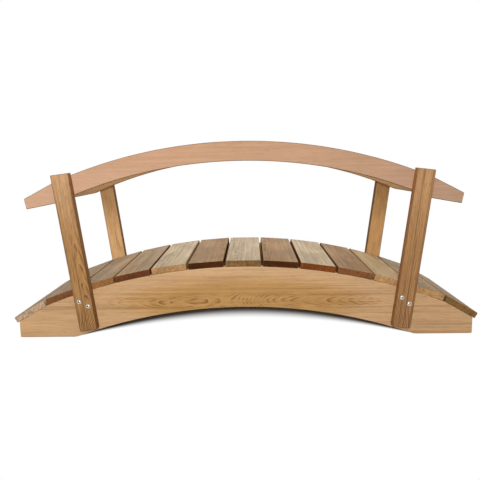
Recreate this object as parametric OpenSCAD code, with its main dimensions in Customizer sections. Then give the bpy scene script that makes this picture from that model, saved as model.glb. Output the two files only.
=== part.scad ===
// Arched garden footbridge in cedar.
// Two bowed side beams stand on flat feet and carry a deck of cross boards.
// Four posts, bolted to the outsides of the beams, lean outward and carry two bowed handrails.
// X runs along the span, Y across the deck and Z up, from the ground at mid-span.

/* [Beams] */
// Length of a side beam from end to end
beam_l = 1829; // [1500:1:2200]
// Thickness of a side beam
beam_t = 38; // [28:1:60]
// Height of the bowed top edge at mid-span
beam_crown = 283; // [255:1:330]
// Height of the ridge where the bowed top edge meets the slanted end cut
ridge_h = 130; // [115:1:145]
// Length of the slanted end cut, from the ridge to the end face
nose_l = 112; // [95:1:125]
// Height of a beam's end face
end_h = 65; // [45:1:75]
// Rise of the arch cut under a beam
arch_rise = 118; // [60:1:150]
// Length of the flat foot at each end of a beam
foot_l = 233; // [120:1:300]

/* [Deck] */
// Width of the deck over the beams, which is the length of a board
deck_w = 610; // [450:1:900]
// Width of a board
board_w = 140; // [90:1:190]
// Thickness of a board
board_t = 25; // [18:1:40]
// Gap between two boards at their undersides
board_gap = 8.5; // [4:0.5:15]
// Radius of a board's eased long edges
board_edge_r = 3; // [1:0.5:6]

/* [Posts] */
// Width of a post, seen from the side of the bridge
post_w = 70; // [50:1:100]
// Thickness of a post
post_t = 38; // [28:1:60]
// Outward lean of a post from the vertical
post_lean = 7.25; // [0:0.25:12]
// Distance from a beam's end to the middle of a post's foot
post_inset = 292; // [240:1:400]
// Height of a post's foot over the underside of the beam
post_foot_up = 17; // [5:1:40]
// Length of a post above the handrail's top edge
post_head = 17; // [5:1:60]
// Radius of a post's eased edges
post_edge_r = 3; // [1:0.5:6]

/* [Handrails] */
// Height of the handrail's top edge at mid-span
rail_crown = 776; // [650:1:950]
// Radius of the handrail's bowed top edge
rail_r = 1909; // [1500:1:2600]
// Depth of the handrail from its top edge to its underside
rail_d = 76; // [50:1:100]
// Thickness of the handrail
rail_t = 38; // [28:1:60]
// Distance from a post's middle to where the bow gives way to the tail
tail_start = 40; // [36:1:90]
// Length of a tail along its underside
tail_l = 114; // [60:1:200]
// Downward slope of a tail's underside
tail_slope = 10.5; // [0:0.5:20]
// Height of the square cut at the end of a tail
tail_end_h = 42; // [20:1:60]

/* [Bolts] */
// Diameter of a bolt's shank and side of its square neck
bolt_d = 8; // [6:1:12]
// Diameter of a bolt's domed head
head_d = 18; // [14:1:26]
// Height of a bolt's domed head
head_h = 4.5; // [3:0.5:7]
// Length of the square neck under a head
neck_l = 5; // [3:0.5:8]
// Height of a pair of bolts above a post's foot
bolt_up = 110; // [80:1:140]
// Distance between the two bolts of a pair across the post
bolt_across = 32; // [24:1:40]
// Distance between the two bolts of a pair along the post
bolt_along = 22; // [0:1:40]
// Length of thread that stands out of a nut
thread_out = 4; // [2:1:10]
// Outer diameter of a washer
washer_d = 22; // [18:1:30]
// Thickness of a washer
washer_t = 2; // [1:0.5:3]
// Width of a nut across its flats
nut_w = 13; // [10:1:19]
// Height of a nut
nut_h = 6.5; // [5:0.5:10]

/* [Fits] */
// Gap left under a board, and between a board's end and a post
board_play = 0.3; // [0.1:0.1:0.8]
// Play all round a bolt in the holes of the wood, the washer and the nut
bolt_play = 0.2; // [0.05:0.05:0.5]

/* [Hidden] */
// Sides of the polygon that stands for a bow, and for a small circle
BOW_FN = 720;
$fn = 64;

SIDES = ["near", "far"];
ENDS = ["left", "right"];
LEVELS = ["upper", "lower"];

BEAM_CEDAR = "#d3a56f";
RAIL_CEDAR = "#cfa383";
POST_CEDAR = "#b98a5c";
BOARD_CEDAR = "#b79f83";
ZINC = "#c9ccd0";

half_l = beam_l / 2;

// The bow of a beam's top edge runs from ridge to ridge, and the arch below it from foot to foot.
ridge_x = half_l - nose_l;
beam_r = bow_radius(ridge_x, beam_crown - ridge_h);
beam_z = beam_crown - beam_r;
foot_x = half_l - foot_l;
arch_r = bow_radius(foot_x, arch_rise);
arch_z = arch_rise - arch_r;

// An end board lies flat on the end cut.
bow_slope = asin(ridge_x / beam_r);
end_tilt = atan2(ridge_h - end_h, nose_l);
end_r = beam_r * cos(end_tilt - bow_slope) + board_play;

// The other boards lie round the bow, as many as fit between the ridges.
deck_r = beam_r + board_play;
board_angle = 2 * atan(board_w / 2 / deck_r);
gap_angle = board_gap / deck_r * 180 / PI;
bow_boards = floor((2 * bow_slope + gap_angle) / (board_angle + gap_angle));
bow_end_angle = (bow_boards * board_angle + (bow_boards + 1) * gap_angle) / 2;
end_shift = board_w / 2 - end_r * tan(end_tilt - bow_end_angle);
board_count = bow_boards + 2;
board_l = deck_w - 2 * board_play;

// A post rises from just above the arch to just over the handrail, along its own leaning axis.
post_x = half_l - post_inset;
post_z = max(0, arch_z + sqrt(arch_r ^ 2 - post_x ^ 2)) + post_foot_up;
rail_z = rail_crown - rail_r;
post_run = post_x * sin(post_lean) + (post_z - rail_z) * cos(post_lean);
post_reach = rail_r ^ 2 - post_x ^ 2 - (post_z - rail_z) ^ 2;
post_to_rail = sqrt(post_run ^ 2 + post_reach) - post_run;
post_l = post_to_rail + post_head;

// A tail starts beyond the post and tapers to an end cut square to its underside.
tail_x = post_x + post_to_rail * sin(post_lean) + tail_start;
tail_top = rail_z + sqrt(rail_r ^ 2 - tail_x ^ 2);
tail_bottom = rail_z + sqrt((rail_r - rail_d) ^ 2 - tail_x ^ 2);
tail_run = [cos(tail_slope), -sin(tail_slope)];
tail_cut = [sin(tail_slope), cos(tail_slope)];
tail_end_bottom = [tail_x, tail_bottom] + tail_l * tail_run;
tail_end_top = tail_end_bottom + tail_end_h * tail_cut;
tail_top_slope = atan2(tail_top - tail_end_top[1], tail_end_top[0] - tail_x);
below_tail = tail_end_bottom + tail_end_h * tail_run;

// A bolt passes through the post, the beam, the washer and the nut.
hole_d = bolt_d + 2 * bolt_play;
grip = post_t + beam_t;
bolt_l = grip + washer_t + nut_h + thread_out;

// Radius of a bow with a given half span and rise
function bow_radius(half_span, rise) = (half_span ^ 2 + rise ^ 2) / (2 * rise);

// Point on the other side of mid-span
function mirrored(point) = [-point[0], point[1]];

// Boards are numbered from the left end
function board_name(i) = str("deck_board_", i < 10 ? "0" : "", i);

function bolt_name(side, end, level, part) = str(side, "_", end, "_", level, "_", part);

// Turns what is made for the near side half round onto the far side
module on_side(side) {
    rotate([0, 0, side == "far" ? 180 : 0]) children();
}

// Stands a flat outline upright, with its outer face on the near edge of the deck
module near_plank(thickness) {
    translate([0, thickness - deck_w / 2, 0])
        rotate([90, 0, 0])
            linear_extrude(thickness) children();
}

// Moves to the foot of a near post, with Z along the post and its inner face on Y = 0
module at_near_post(direction) {
    translate([direction * post_x, -deck_w / 2, post_z])
        rotate([0, direction * post_lean, 0])
            children();
}

// Moves to the upper or lower hole in the outer face of a post, with Z into the wood
module at_hole(level) {
    sense = level == "upper" ? 1 : -1;
    translate([-sense * bolt_across / 2, -post_t, bolt_up + sense * bolt_along / 2])
        rotate([-90, 0, 0])
            children();
}

// Moves to a bolt's place by its names, on either side of the bridge
module at_bolt(side, end, level) {
    // The turn of the far side swaps its left and right ends
    direction = (end == "right") == (side == "near") ? 1 : -1;
    on_side(side) at_near_post(direction) at_hole(level) children();
}

// Rectangle with eased corners, centred across and standing on the X axis
module eased_rectangle(width, height, corner_r) {
    inner_w = width - 2 * corner_r;
    inner_h = height - 2 * corner_r;
    translate([-inner_w / 2, 0]) square([inner_w, height]);
    translate([-width / 2, corner_r]) square([width, inner_h]);
    for (x = [-1, 1] * inner_w / 2, y = [corner_r, height - corner_r])
        translate([x, y]) circle(corner_r);
}

// Region under two straight slopes that meet over mid-span, given its right eave and the foot below that
module gable(foot, eave, slope) {
    apex = [0, eave[1] + eave[0] * tan(slope)];
    polygon([foot, eave, apex, mirrored(eave), mirrored(foot)]);
}

// Side view of a beam: the bow, trimmed by the slanted end cuts, less the arch
module beam_outline() {
    difference() {
        intersection() {
            translate([0, beam_z]) circle(beam_r, $fn = BOW_FN);
            gable([half_l, 0], [half_l, end_h], end_tilt);
        }
        translate([0, arch_z]) circle(arch_r, $fn = BOW_FN);
    }
}

module beam(side) {
    color(BEAM_CEDAR) on_side(side) difference() {
        near_plank(beam_t) beam_outline();
        for (direction = [-1, 1], level = LEVELS)
            at_near_post(direction) at_hole(level) cylinder(d = hole_d, h = grip + post_t);
    }
}

// Side view of a handrail: the bow and the tops of its tails, less the inner bow and what is under the tails
module handrail_outline() {
    difference() {
        intersection() {
            translate([0, rail_z]) circle(rail_r, $fn = BOW_FN);
            gable(tail_end_bottom - tail_end_h * tail_cut, tail_end_top, tail_top_slope);
        }
        translate([0, rail_z]) circle(rail_r - rail_d, $fn = BOW_FN);
        gable([below_tail[0], 0], below_tail, tail_slope);
    }
}

module handrail(side) {
    color(RAIL_CEDAR) on_side(side) near_plank(rail_t) handrail_outline();
}

module deck_board(i) {
    place = i - (board_count + 1) / 2;
    is_end = i == 1 || i == board_count;
    angle = is_end ? sign(place) * end_tilt : place * (board_angle + gap_angle);
    seat = is_end ? [sign(place) * end_shift, 0, end_r] : [0, 0, deck_r];
    color(BOARD_CEDAR)
        translate([0, 0, beam_z]) rotate([0, angle, 0]) translate(seat)
            rotate([90, 0, 0])
                linear_extrude(board_l, center = true)
                    eased_rectangle(board_w, board_t, board_edge_r);
}

module post(side, end) {
    direction = (end == "right") == (side == "near") ? 1 : -1;
    color(POST_CEDAR) on_side(side) at_near_post(direction) difference() {
        translate([0, -post_t, 0])
            linear_extrude(post_l) eased_rectangle(post_w, post_t, post_edge_r);
        for (level = LEVELS) at_hole(level) {
            cylinder(d = hole_d, h = grip);
            translate([0, 0, neck_l / 2]) cube([hole_d, hole_d, neck_l], center = true);
        }
    }
}

// Carriage bolt: a low dome over a square neck that keys into the post
module bolt(side, end, level) {
    dome_r = bow_radius(head_d / 2, head_h);
    color(ZINC) at_bolt(side, end, level) {
        mirror([0, 0, 1]) rotate_extrude() intersection() {
            translate([0, head_h - dome_r]) circle(dome_r);
            square([head_d / 2, head_h]);
        }
        translate([0, 0, neck_l / 2]) cube([bolt_d, bolt_d, neck_l], center = true);
        cylinder(d = bolt_d, h = bolt_l);
    }
}

module washer(side, end, level) {
    color(ZINC) at_bolt(side, end, level) translate([0, 0, grip]) difference() {
        cylinder(d = washer_d, h = washer_t);
        translate([0, 0, -washer_t]) cylinder(d = hole_d, h = 3 * washer_t);
    }
}

module nut(side, end, level) {
    color(ZINC) at_bolt(side, end, level) translate([0, 0, grip + washer_t]) difference() {
        cylinder(d = nut_w / cos(30), h = nut_h, $fn = 6);
        translate([0, 0, -nut_h]) cylinder(d = hole_d, h = 3 * nut_h);
    }
}

for (side = SIDES) {
    beam(side);
    handrail(side);
    for (end = ENDS) {
        post(side, end);
        for (level = LEVELS) {
            bolt(side, end, level);
            washer(side, end, level);
            nut(side, end, level);
        }
    }
}
for (i = [1:board_count]) {
    deck_board(i);
}
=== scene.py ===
"""Looks of a cedar moon bridge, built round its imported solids.

Two bowed beams carry thirteen deck boards, and four leaning posts carry two bowed handrails. Each wooden
piece is a bar between two edge lines, with eased edges and grain of its own. Lengths are in metres: X runs
along the span, Y across the deck and Z up, from the ground at mid-span.
"""

from __future__ import annotations

import logging
import math
from dataclasses import dataclass, replace
from enum import Enum
from typing import Mapping, Optional, Sequence, Union

import bpy
import numpy as np
from mathutils import Matrix, Vector


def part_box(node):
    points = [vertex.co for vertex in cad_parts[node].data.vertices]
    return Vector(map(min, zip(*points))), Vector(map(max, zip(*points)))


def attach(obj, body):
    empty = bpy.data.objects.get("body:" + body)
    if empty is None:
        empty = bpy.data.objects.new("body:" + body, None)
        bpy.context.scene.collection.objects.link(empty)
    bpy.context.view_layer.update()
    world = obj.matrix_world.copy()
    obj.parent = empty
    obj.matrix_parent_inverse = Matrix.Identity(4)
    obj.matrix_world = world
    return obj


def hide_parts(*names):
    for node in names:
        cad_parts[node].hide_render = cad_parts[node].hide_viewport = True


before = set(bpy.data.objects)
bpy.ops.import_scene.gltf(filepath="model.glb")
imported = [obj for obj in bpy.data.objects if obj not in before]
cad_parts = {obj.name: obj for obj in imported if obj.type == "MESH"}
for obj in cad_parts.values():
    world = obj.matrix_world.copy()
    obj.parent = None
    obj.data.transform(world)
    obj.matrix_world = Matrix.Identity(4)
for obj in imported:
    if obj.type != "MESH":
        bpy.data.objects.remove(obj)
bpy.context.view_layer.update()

LOG = logging.getLogger("moon_bridge")
BODY = "root"
MERGE_STEP = 1e-7
# Point attribute that marks where painted shading goes: eased edges of the wood, and recesses and rims of the
# metal.
PAINTED_SHADING_MARK = "worn"
SCREEN_TOP = 255
SCREEN_KNEE = 0.04045
SCREEN_SLOPE = 12.92
SCREEN_SHIFT = 0.055
SCREEN_POWER = 2.4

Colour = tuple[float, float, float, float]
Given = Union["Value", bpy.types.NodeSocket, float, Sequence[float]]

X_AXIS = np.array([1.0, 0.0, 0.0])
Y_AXIS = np.array([0.0, 1.0, 0.0])
Z_AXIS = np.array([0.0, 0.0, 1.0])


class Side(Enum):
    """Long side of the bridge, with the sense of its outer face along Y."""

    NEAR = -1
    FAR = 1


class End(Enum):
    """End of the bridge, with its sense along X."""

    LEFT = -1
    RIGHT = 1


class Level(Enum):
    """Place of a bolt in its pair."""

    UPPER = 1
    LOWER = -1


class Slot(Enum):
    """Material slot of the record that a piece takes its finish from."""

    BEAM = "beam_cedar"
    RAIL = "rail_cedar"
    POST = "post_cedar"
    BOARD = "board_cedar"
    METAL = "zinc"


def named(*words: Union[Enum, str]) -> str:
    """Joins words and named options into a node's name."""
    return "_".join(word.name.lower() if isinstance(word, Enum) else word for word in words)


def srgb(code: str) -> Colour:
    """Turns a screen colour into the linear colour that shaders take.

    Args:
        code: Six hexadecimal digits, red first.

    Returns:
        Red, green and blue in linear light, and full alpha.
    """
    screen = np.array([int(code[i : i + 2], 16) for i in (0, 2, 4)]) / SCREEN_TOP
    curve = ((screen + SCREEN_SHIFT) / (1.0 + SCREEN_SHIFT)) ** SCREEN_POWER
    linear = np.where(screen <= SCREEN_KNEE, screen / SCREEN_SLOPE, curve)
    return (*linear.tolist(), 1.0)


class Value:
    """Number that a shader works out at each point, with Python's operators on it."""

    def __init__(self, bench: Bench, socket: bpy.types.NodeSocket) -> None:
        """Keeps the socket that gives the number, and the bench that adds nodes."""
        self.bench = bench
        self.socket = socket

    def _math(self, operation: str, first: Given, second: Given) -> Value:
        """Adds one Math node.

        Args:
            operation: The node's operation.
            first: Left operand.
            second: Right operand.

        Returns:
            The node's result.
        """
        node = self.bench.node("ShaderNodeMath", {"operation": operation}, {0: first, 1: second})
        return Value(self.bench, node.outputs[0])

    def __add__(self, other: Given) -> Value:
        """Sum."""
        return self._math("ADD", self, other)

    def __radd__(self, other: Given) -> Value:
        """Sum with a number on the left."""
        return self._math("ADD", other, self)

    def __sub__(self, other: Given) -> Value:
        """Difference."""
        return self._math("SUBTRACT", self, other)

    def __rsub__(self, other: Given) -> Value:
        """Difference from a number on the left."""
        return self._math("SUBTRACT", other, self)

    def __mul__(self, other: Given) -> Value:
        """Product."""
        return self._math("MULTIPLY", self, other)

    def __rmul__(self, other: Given) -> Value:
        """Product with a number on the left."""
        return self._math("MULTIPLY", other, self)

    def __truediv__(self, other: Given) -> Value:
        """Quotient."""
        return self._math("DIVIDE", self, other)

    def __pow__(self, other: Given) -> Value:
        """Power."""
        return self._math("POWER", self, other)

    def __rpow__(self, other: Given) -> Value:
        """Power of a number on the left."""
        return self._math("POWER", other, self)

    def __mod__(self, other: Given) -> Value:
        """Remainder that is never negative."""
        return self._math("FLOORED_MODULO", self, other)

    def __abs__(self) -> Value:
        """Size without sign."""
        return self._math("ABSOLUTE", self, 0.0)

    def at_least(self, other: Given) -> Value:
        """The larger of two numbers."""
        return self._math("MAXIMUM", self, other)

    def step(self, low: float, high: float) -> Value:
        """Rises smoothly from 0 to 1.

        Args:
            low: Number at and below which the step is 0.
            high: Number at and above which the step is 1.

        Returns:
            The smooth step.
        """
        node = self.bench.node(
            "ShaderNodeMapRange",
            {"interpolation_type": "SMOOTHSTEP"},
            {"Value": self, "From Min": low, "From Max": high},
        )
        return Value(self.bench, node.outputs["Result"])


class Bench:
    """Node tree of a material or a world, with the few ways in which the finishes add to it."""

    def __init__(self, holder: Union[bpy.types.Material, bpy.types.World]) -> None:
        """Empties a node tree.

        Args:
            holder: Material or world that owns the tree.
        """
        holder.use_nodes = True
        self.tree = holder.node_tree
        self.tree.nodes.clear()

    def node(
        self, kind: str, settings: Mapping[str, object], inputs: Mapping[Union[int, str], Given]
    ) -> bpy.types.Node:
        """Adds a node.

        Args:
            kind: Type of the node.
            settings: The node's own properties, set before its sockets.
            inputs: Values or links of its sockets, by name or number.

        Returns:
            The new node.
        """
        made = self.tree.nodes.new(kind)
        for name, setting in settings.items():
            setattr(made, name, setting)
        for key, given in inputs.items():
            source = given.socket if isinstance(given, Value) else given
            if isinstance(source, bpy.types.NodeSocket):
                self.tree.links.new(source, made.inputs[key])
            else:
                made.inputs[key].default_value = source
        return made

    def offset(self, middle: np.ndarray) -> bpy.types.NodeSocket:
        """Works out where the point lies, in object coordinates.

        Args:
            middle: Middle of the piece.

        Returns:
            The vector from the middle to the point.
        """
        place = self.node("ShaderNodeTexCoord", {}, {}).outputs["Object"]
        settings = {"operation": "SUBTRACT"}
        return self.node("ShaderNodeVectorMath", settings, {0: place, 1: middle.tolist()}).outputs[0]

    def along(self, vector: bpy.types.NodeSocket, axis: np.ndarray) -> Value:
        """Measures a vector along an axis.

        Args:
            vector: The vector.
            axis: Unit vector along the axis.

        Returns:
            The part of the vector that lies along the axis.
        """
        settings = {"operation": "DOT_PRODUCT"}
        node = self.node("ShaderNodeVectorMath", settings, {0: vector, 1: axis.tolist()})
        return Value(self, node.outputs["Value"])

    def noise(self, place: Sequence[Given], detail: float) -> Value:
        """Smooth noise about zero.

        Args:
            place: Three coordinates, in noise cells.
            detail: Number of finer layers.

        Returns:
            The noise at the place, from about -0.5 to 0.5.
        """
        vector = self.node("ShaderNodeCombineXYZ", {}, dict(enumerate(place)))
        inputs = {"Vector": vector.outputs[0], "Scale": 1.0, "Detail": detail}
        return Value(self, self.node("ShaderNodeTexNoise", {}, inputs).outputs[0]) - 0.5

    def mix(self, factor: Given, first: Given, second: Given) -> bpy.types.NodeSocket:
        """Mixes two colours.

        The node has sockets of the same name for each kind of data, so they are addressed by number.

        Args:
            factor: Share of the second colour.
            first: First colour.
            second: Second colour.

        Returns:
            The mixed colour.
        """
        inputs = {0: factor, 6: first, 7: second}
        return self.node("ShaderNodeMix", {"data_type": "RGBA"}, inputs).outputs[2]

    def scale(self, colour: Given, factor: Given) -> bpy.types.NodeSocket:
        """Multiplies a colour by a number."""
        inputs = {0: colour, "Scale": factor}
        return self.node("ShaderNodeVectorMath", {"operation": "SCALE"}, inputs).outputs[0]

    def worn(self) -> Value:
        """How far the point lies in an eased edge or a recess, which takes painted shading."""
        mark = self.node("ShaderNodeAttribute", {"attribute_name": PAINTED_SHADING_MARK}, {})
        return Value(self, mark.outputs["Fac"])

    def seen(self) -> Value:
        """Tells what the camera sees from what lights the object.

        Returns:
            1 for what it sees straight, in a gloss or through glass, and 0 for light.
        """
        rays = self.node("ShaderNodeLightPath", {}, {}).outputs
        seen = Value(self, rays["Is Camera Ray"])
        return seen.at_least(rays["Is Glossy Ray"]).at_least(rays["Is Transmission Ray"])


@dataclass(frozen=True)
class Lie:
    """Where a piece of wood lies: its middle and the directions of its grain.

    Attributes:
        middle: Middle of the piece.
        along: Unit vector along the grain.
        across: Unit vector across the broad face.
        through: Unit vector through the thickness.
    """

    middle: np.ndarray
    along: np.ndarray
    across: np.ndarray
    through: np.ndarray


@dataclass(frozen=True)
class Knot:
    """Swelling in the log, round which the grain bends.

    Attributes:
        along: Place along the piece, from its middle.
        across: Place across the piece, from its middle.
        reach: Distance across over which the grain bends.
        stretch: How many times further it bends along the piece.
        bend: How far the rings are pushed aside.
    """

    along: float
    across: float
    reach: float
    stretch: float
    bend: float


@dataclass(frozen=True)
class Flare:
    """Root of a branch below a piece, from which lines fan out up the piece.

    Attributes:
        along: Place along the piece, from its middle.
        across: Place across the piece, from its middle.
        reach: Distance at which its lines have given way to the log's rings.
        step: Step from line to line, as the tangent of an angle.
    """

    along: float
    across: float
    reach: float
    step: float


@dataclass(frozen=True)
class Seam:
    """Long dark line down a piece.

    Attributes:
        across: Place across the piece, from its middle.
        half_width: Half the width of the line.
        top: Place along the piece at which the line begins, below which it runs on.
        share: Strength of the line.
    """

    across: float
    half_width: float
    top: float
    share: float


@dataclass(frozen=True)
class Cut:
    """How a piece lay in its log.

    Attributes:
        pith_across: Place of the pith across the piece, from its middle.
        pith_through: Place of the pith through the piece, from its middle.
        ring: Mean width of a growth ring.
        taper: Change of ring distance for each metre along the piece.
        sway: How far the rings wander.
        flame: Half-width of the flat-sawn strip over the pith, in which the ring lines show most.
        knots: Swellings that bend the grain.
        flares: Roots of branches.
        seams: Dark lines.
    """

    pith_across: float
    pith_through: float
    ring: float = 0.0026
    taper: float = 0.006
    sway: float = 0.014
    flame: float = 0.05
    knots: tuple[Knot, ...] = ()
    flares: tuple[Flare, ...] = ()
    seams: tuple[Seam, ...] = ()


@dataclass(frozen=True)
class Tone:
    """Colours of one piece of cedar.

    Attributes:
        early: Pale wood of spring.
        late: Dark line that closes a ring.
        blush: Wood of the outer rings.
        end: Wood on a sawn face, which the narrow faces of some pieces also take as painted shade.
        edge: Painted shading along an eased edge: lighter than the wood on the beams, darker on the other
            pieces.
    """

    early: str
    late: str
    blush: str
    end: str
    edge: str


@dataclass(frozen=True)
class Layer:
    """Layer of noise, stretched along the grain.

    Attributes:
        along: Cells in each metre along the grain.
        across: Cells in each metre across the grain.
        detail: Number of finer layers inside it.
        shift: Shift along the grain that sets it apart from the other layers.
    """

    along: float
    across: float
    detail: float
    shift: float


class Grain:
    """Where a point lies in a piece of wood, and the noise that follows the grain there."""

    def __init__(self, bench: Bench, lie: Lie, seed: float) -> None:
        """Works out the point's place along, across and through the piece.

        Args:
            bench: Bench of the wood's material.
            lie: Where the piece lies.
            seed: Shift that makes the piece's noise its own.
        """
        offset = bench.offset(lie.middle)
        self.bench = bench
        self.seed = seed
        self.along = bench.along(offset, lie.along)
        self.across = bench.along(offset, lie.across)
        self.through = bench.along(offset, lie.through)

    def noise(self, layer: Layer) -> Value:
        """Works out the noise of one layer.

        Args:
            layer: The layer.

        Returns:
            The noise at the point, from about -0.5 to 0.5.
        """
        run = self.along * layer.along + (self.seed + layer.shift)
        place = (run, self.across * layer.across, self.through * layer.across)
        return self.bench.noise(place, layer.detail)


@dataclass(frozen=True)
class Rings:
    """What the growth rings show at a point.

    Attributes:
        radial: Distance from the pith.
        sway: Slow wander of the rings.
        count: Number of rings from the pith.
        late: How near the point is to the dark end of its ring, from 0 to 1.
        marked: How plainly the ring lines show.
    """

    radial: Value
    sway: Value
    count: Value
    late: Value
    marked: Value


@dataclass(frozen=True)
class Cedar:
    """Planed cedar with growth rings, fibres, streaks and darker sawn faces.

    Attributes:
        tone: Colours.
        cut: Where the piece lay in its log.
        blush_from: Distance from the pith at which the outer wood begins.
        blush_to: Distance from the pith at which it is full.
        blush_rise: Distance that counts as added a metre from the middle, as the log swells to both ends.
        painted_light_falloff: Share of its lightness that the wood loses in each metre along the piece,
            painted light that falls off from the left end to the right.
        figure: Strength of the streaks and clouds.
        lines: Strength of the ring lines.
        clouds: Strength of the broad light and dark patches.
        gloss: Strength of the sheen.
        foot_shade: Share of its lightness that the wood has lost at its foot, darkening from its head down.
        foot: Place along the piece of its foot.
        narrow_tone_and_shade: Whether the narrow faces take the sawn ends' colour, partly the wood's own and
            partly painted shade on the posts' sides and in the gaps between the boards.
        seed: Shift that makes each piece's noise its own.
    """

    tone: Tone
    cut: Cut
    blush_from: float
    blush_to: float
    blush_rise: float = 0.0
    painted_light_falloff: float = 0.0
    figure: float = 1.0
    lines: float = 0.9
    clouds: float = 0.45
    gloss: float = 0.18
    foot_shade: float = 0.0
    foot: float = -0.31
    narrow_tone_and_shade: bool = False
    seed: float = 0.0

    # Layers of noise.
    SWAY = Layer(1.6, 7.0, 1.0, 0.0)
    FLUTTER = Layer(6.0, 34.0, 2.0, 11.0)
    JITTER = Layer(30.0, 480.0, 1.0, 17.0)
    STREAK = Layer(2.2, 105.0, 2.0, 23.0)
    VEIN = Layer(0.9, 130.0, 1.0, 31.0)
    FIBRE = Layer(24.0, 1200.0, 2.0, 37.0)
    STRAND = Layer(8.0, 270.0, 2.0, 43.0)
    FLECK = Layer(34.0, 330.0, 0.0, 53.0)
    CLOUD = Layer(5.0, 13.0, 2.0, 67.0)
    BREAK = Layer(16.0, 70.0, 1.0, 71.0)
    # Numbers between which a mask rises from 0 to 1.
    BREAK_STEP = (-0.08, 0.12)
    VEIN_STEP = (0.06, 0.2)
    FLECK_STEP = (0.1, 0.25)
    NARROW_STEP = (0.45, 0.85)
    SAWN_STEP = (0.35, 0.95)
    HEAD_STEP = (0.5, 1.0)
    # How far noise moves the rings, the dark lines and the edge of the outer wood.
    FLUTTER_REACH = 0.0022
    JITTER_REACH = 0.0006
    WOBBLE = 0.006
    DRIFT = 0.05
    # Shapes and strengths of the lines, bands, streaks and masks.
    LATE_POWER = 2.2
    LINE_FAINT = 0.2
    LINE_STRONG = 0.8
    BAND_RINGS = 5.0
    BAND_DETAIL = 2.0
    BAND_SHARE = 0.55
    STREAK_SHARE = 0.6
    STRAND_SHARE = 0.7
    FIBRE_SHARE = 0.45
    VEIN_SHARE = 0.4
    FLECK_SHARE = 0.25
    BLUSH_SHARE = 0.75
    END_RINGS = 0.45
    END_STREAKS = 0.9
    FLAME_CORE = 0.35
    FLARE_CORE = 0.5
    # Strength of the painted shading along eased edges.
    EDGE_SHARE = 0.85
    # Sheen and relief.
    ROUGHNESS = 0.58
    ROUGHNESS_SPREAD = 0.2
    END_ROUGHNESS = 0.2
    LATE_RISE = 0.5
    FLECK_DENT = 0.6
    BUMP_STRENGTH = 0.5
    BUMP_DEPTH = 0.00035

    def material(self, name: str, lie: Lie) -> bpy.types.Material:
        """Makes the wood's material.

        Growth rings give the lines, and noise stretched along the grain gives streaks, strands, fibres and
        flecks. Sawn faces have a colour of their own, and eased edges take painted shading.

        Args:
            name: Name of the material.
            lie: Where the piece lies.

        Returns:
            The material.
        """
        material = bpy.data.materials.new(name)
        bench = Bench(material)
        grain = Grain(bench, lie, self.seed)
        rings = self._rings(grain)
        streak = grain.noise(self.STREAK)
        strand = grain.noise(self.STRAND)
        cloud = grain.noise(self.CLOUD)
        fibre = grain.noise(self.FIBRE)
        fleck = grain.noise(self.FLECK).step(*self.FLECK_STEP)
        sawn = self._sawn(bench, lie)

        colour = self._long_faces(grain, rings, streak)
        # Sawn ends take their own colour; where narrow_tone_and_shade is set the narrow faces take it too, as
        # painted shade.
        colour = bench.mix(sawn, colour, srgb(self.tone.end))
        # Eased edges take the edge colour as painted shading: a lighter arris on the beams, darker edges
        # elsewhere.
        colour = bench.mix(bench.worn() * (self.EDGE_SHARE + cloud), colour, srgb(self.tone.edge))

        band = bench.noise((rings.count / self.BAND_RINGS + self.seed, 0.0, 0.0), self.BAND_DETAIL)
        level = self.BAND_SHARE * band + self.STREAK_SHARE * streak + self.STRAND_SHARE * strand
        level = level + self.clouds * cloud + self.FIBRE_SHARE * fibre - self.FLECK_SHARE * fleck
        # Painted light falls off along the piece, lighter towards the left end of the beams and handrails.
        level = 1.0 + self.figure * level - self.painted_light_falloff * grain.along
        level = level + sawn * (self.END_STREAKS * streak - self.END_RINGS * (rings.late - 0.5))
        if self.foot_shade > 0.0:
            level = level * (1.0 - self.foot_shade * (1.0 - self._height(grain)))

        bump = bench.node(
            "ShaderNodeBump",
            {},
            {
                "Strength": self.BUMP_STRENGTH,
                "Distance": self.BUMP_DEPTH,
                "Height": fibre + strand + self.LATE_RISE * rings.late - self.FLECK_DENT * fleck,
            },
        )
        shader = bench.node(
            "ShaderNodeBsdfPrincipled",
            {},
            {
                "Base Color": bench.scale(colour, level),
                "Roughness": self.ROUGHNESS + self.ROUGHNESS_SPREAD * fibre + self.END_ROUGHNESS * sawn,
                "Specular IOR Level": self.gloss,
                "Normal": bump.outputs[0],
            },
        )
        bench.node("ShaderNodeOutputMaterial", {}, {"Surface": shader.outputs[0]})
        return material

    def _height(self, grain: Grain) -> Value:
        """Height up the piece, from 0 at its foot to 1."""
        return 0.5 - grain.along * (0.5 / self.foot)

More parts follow.
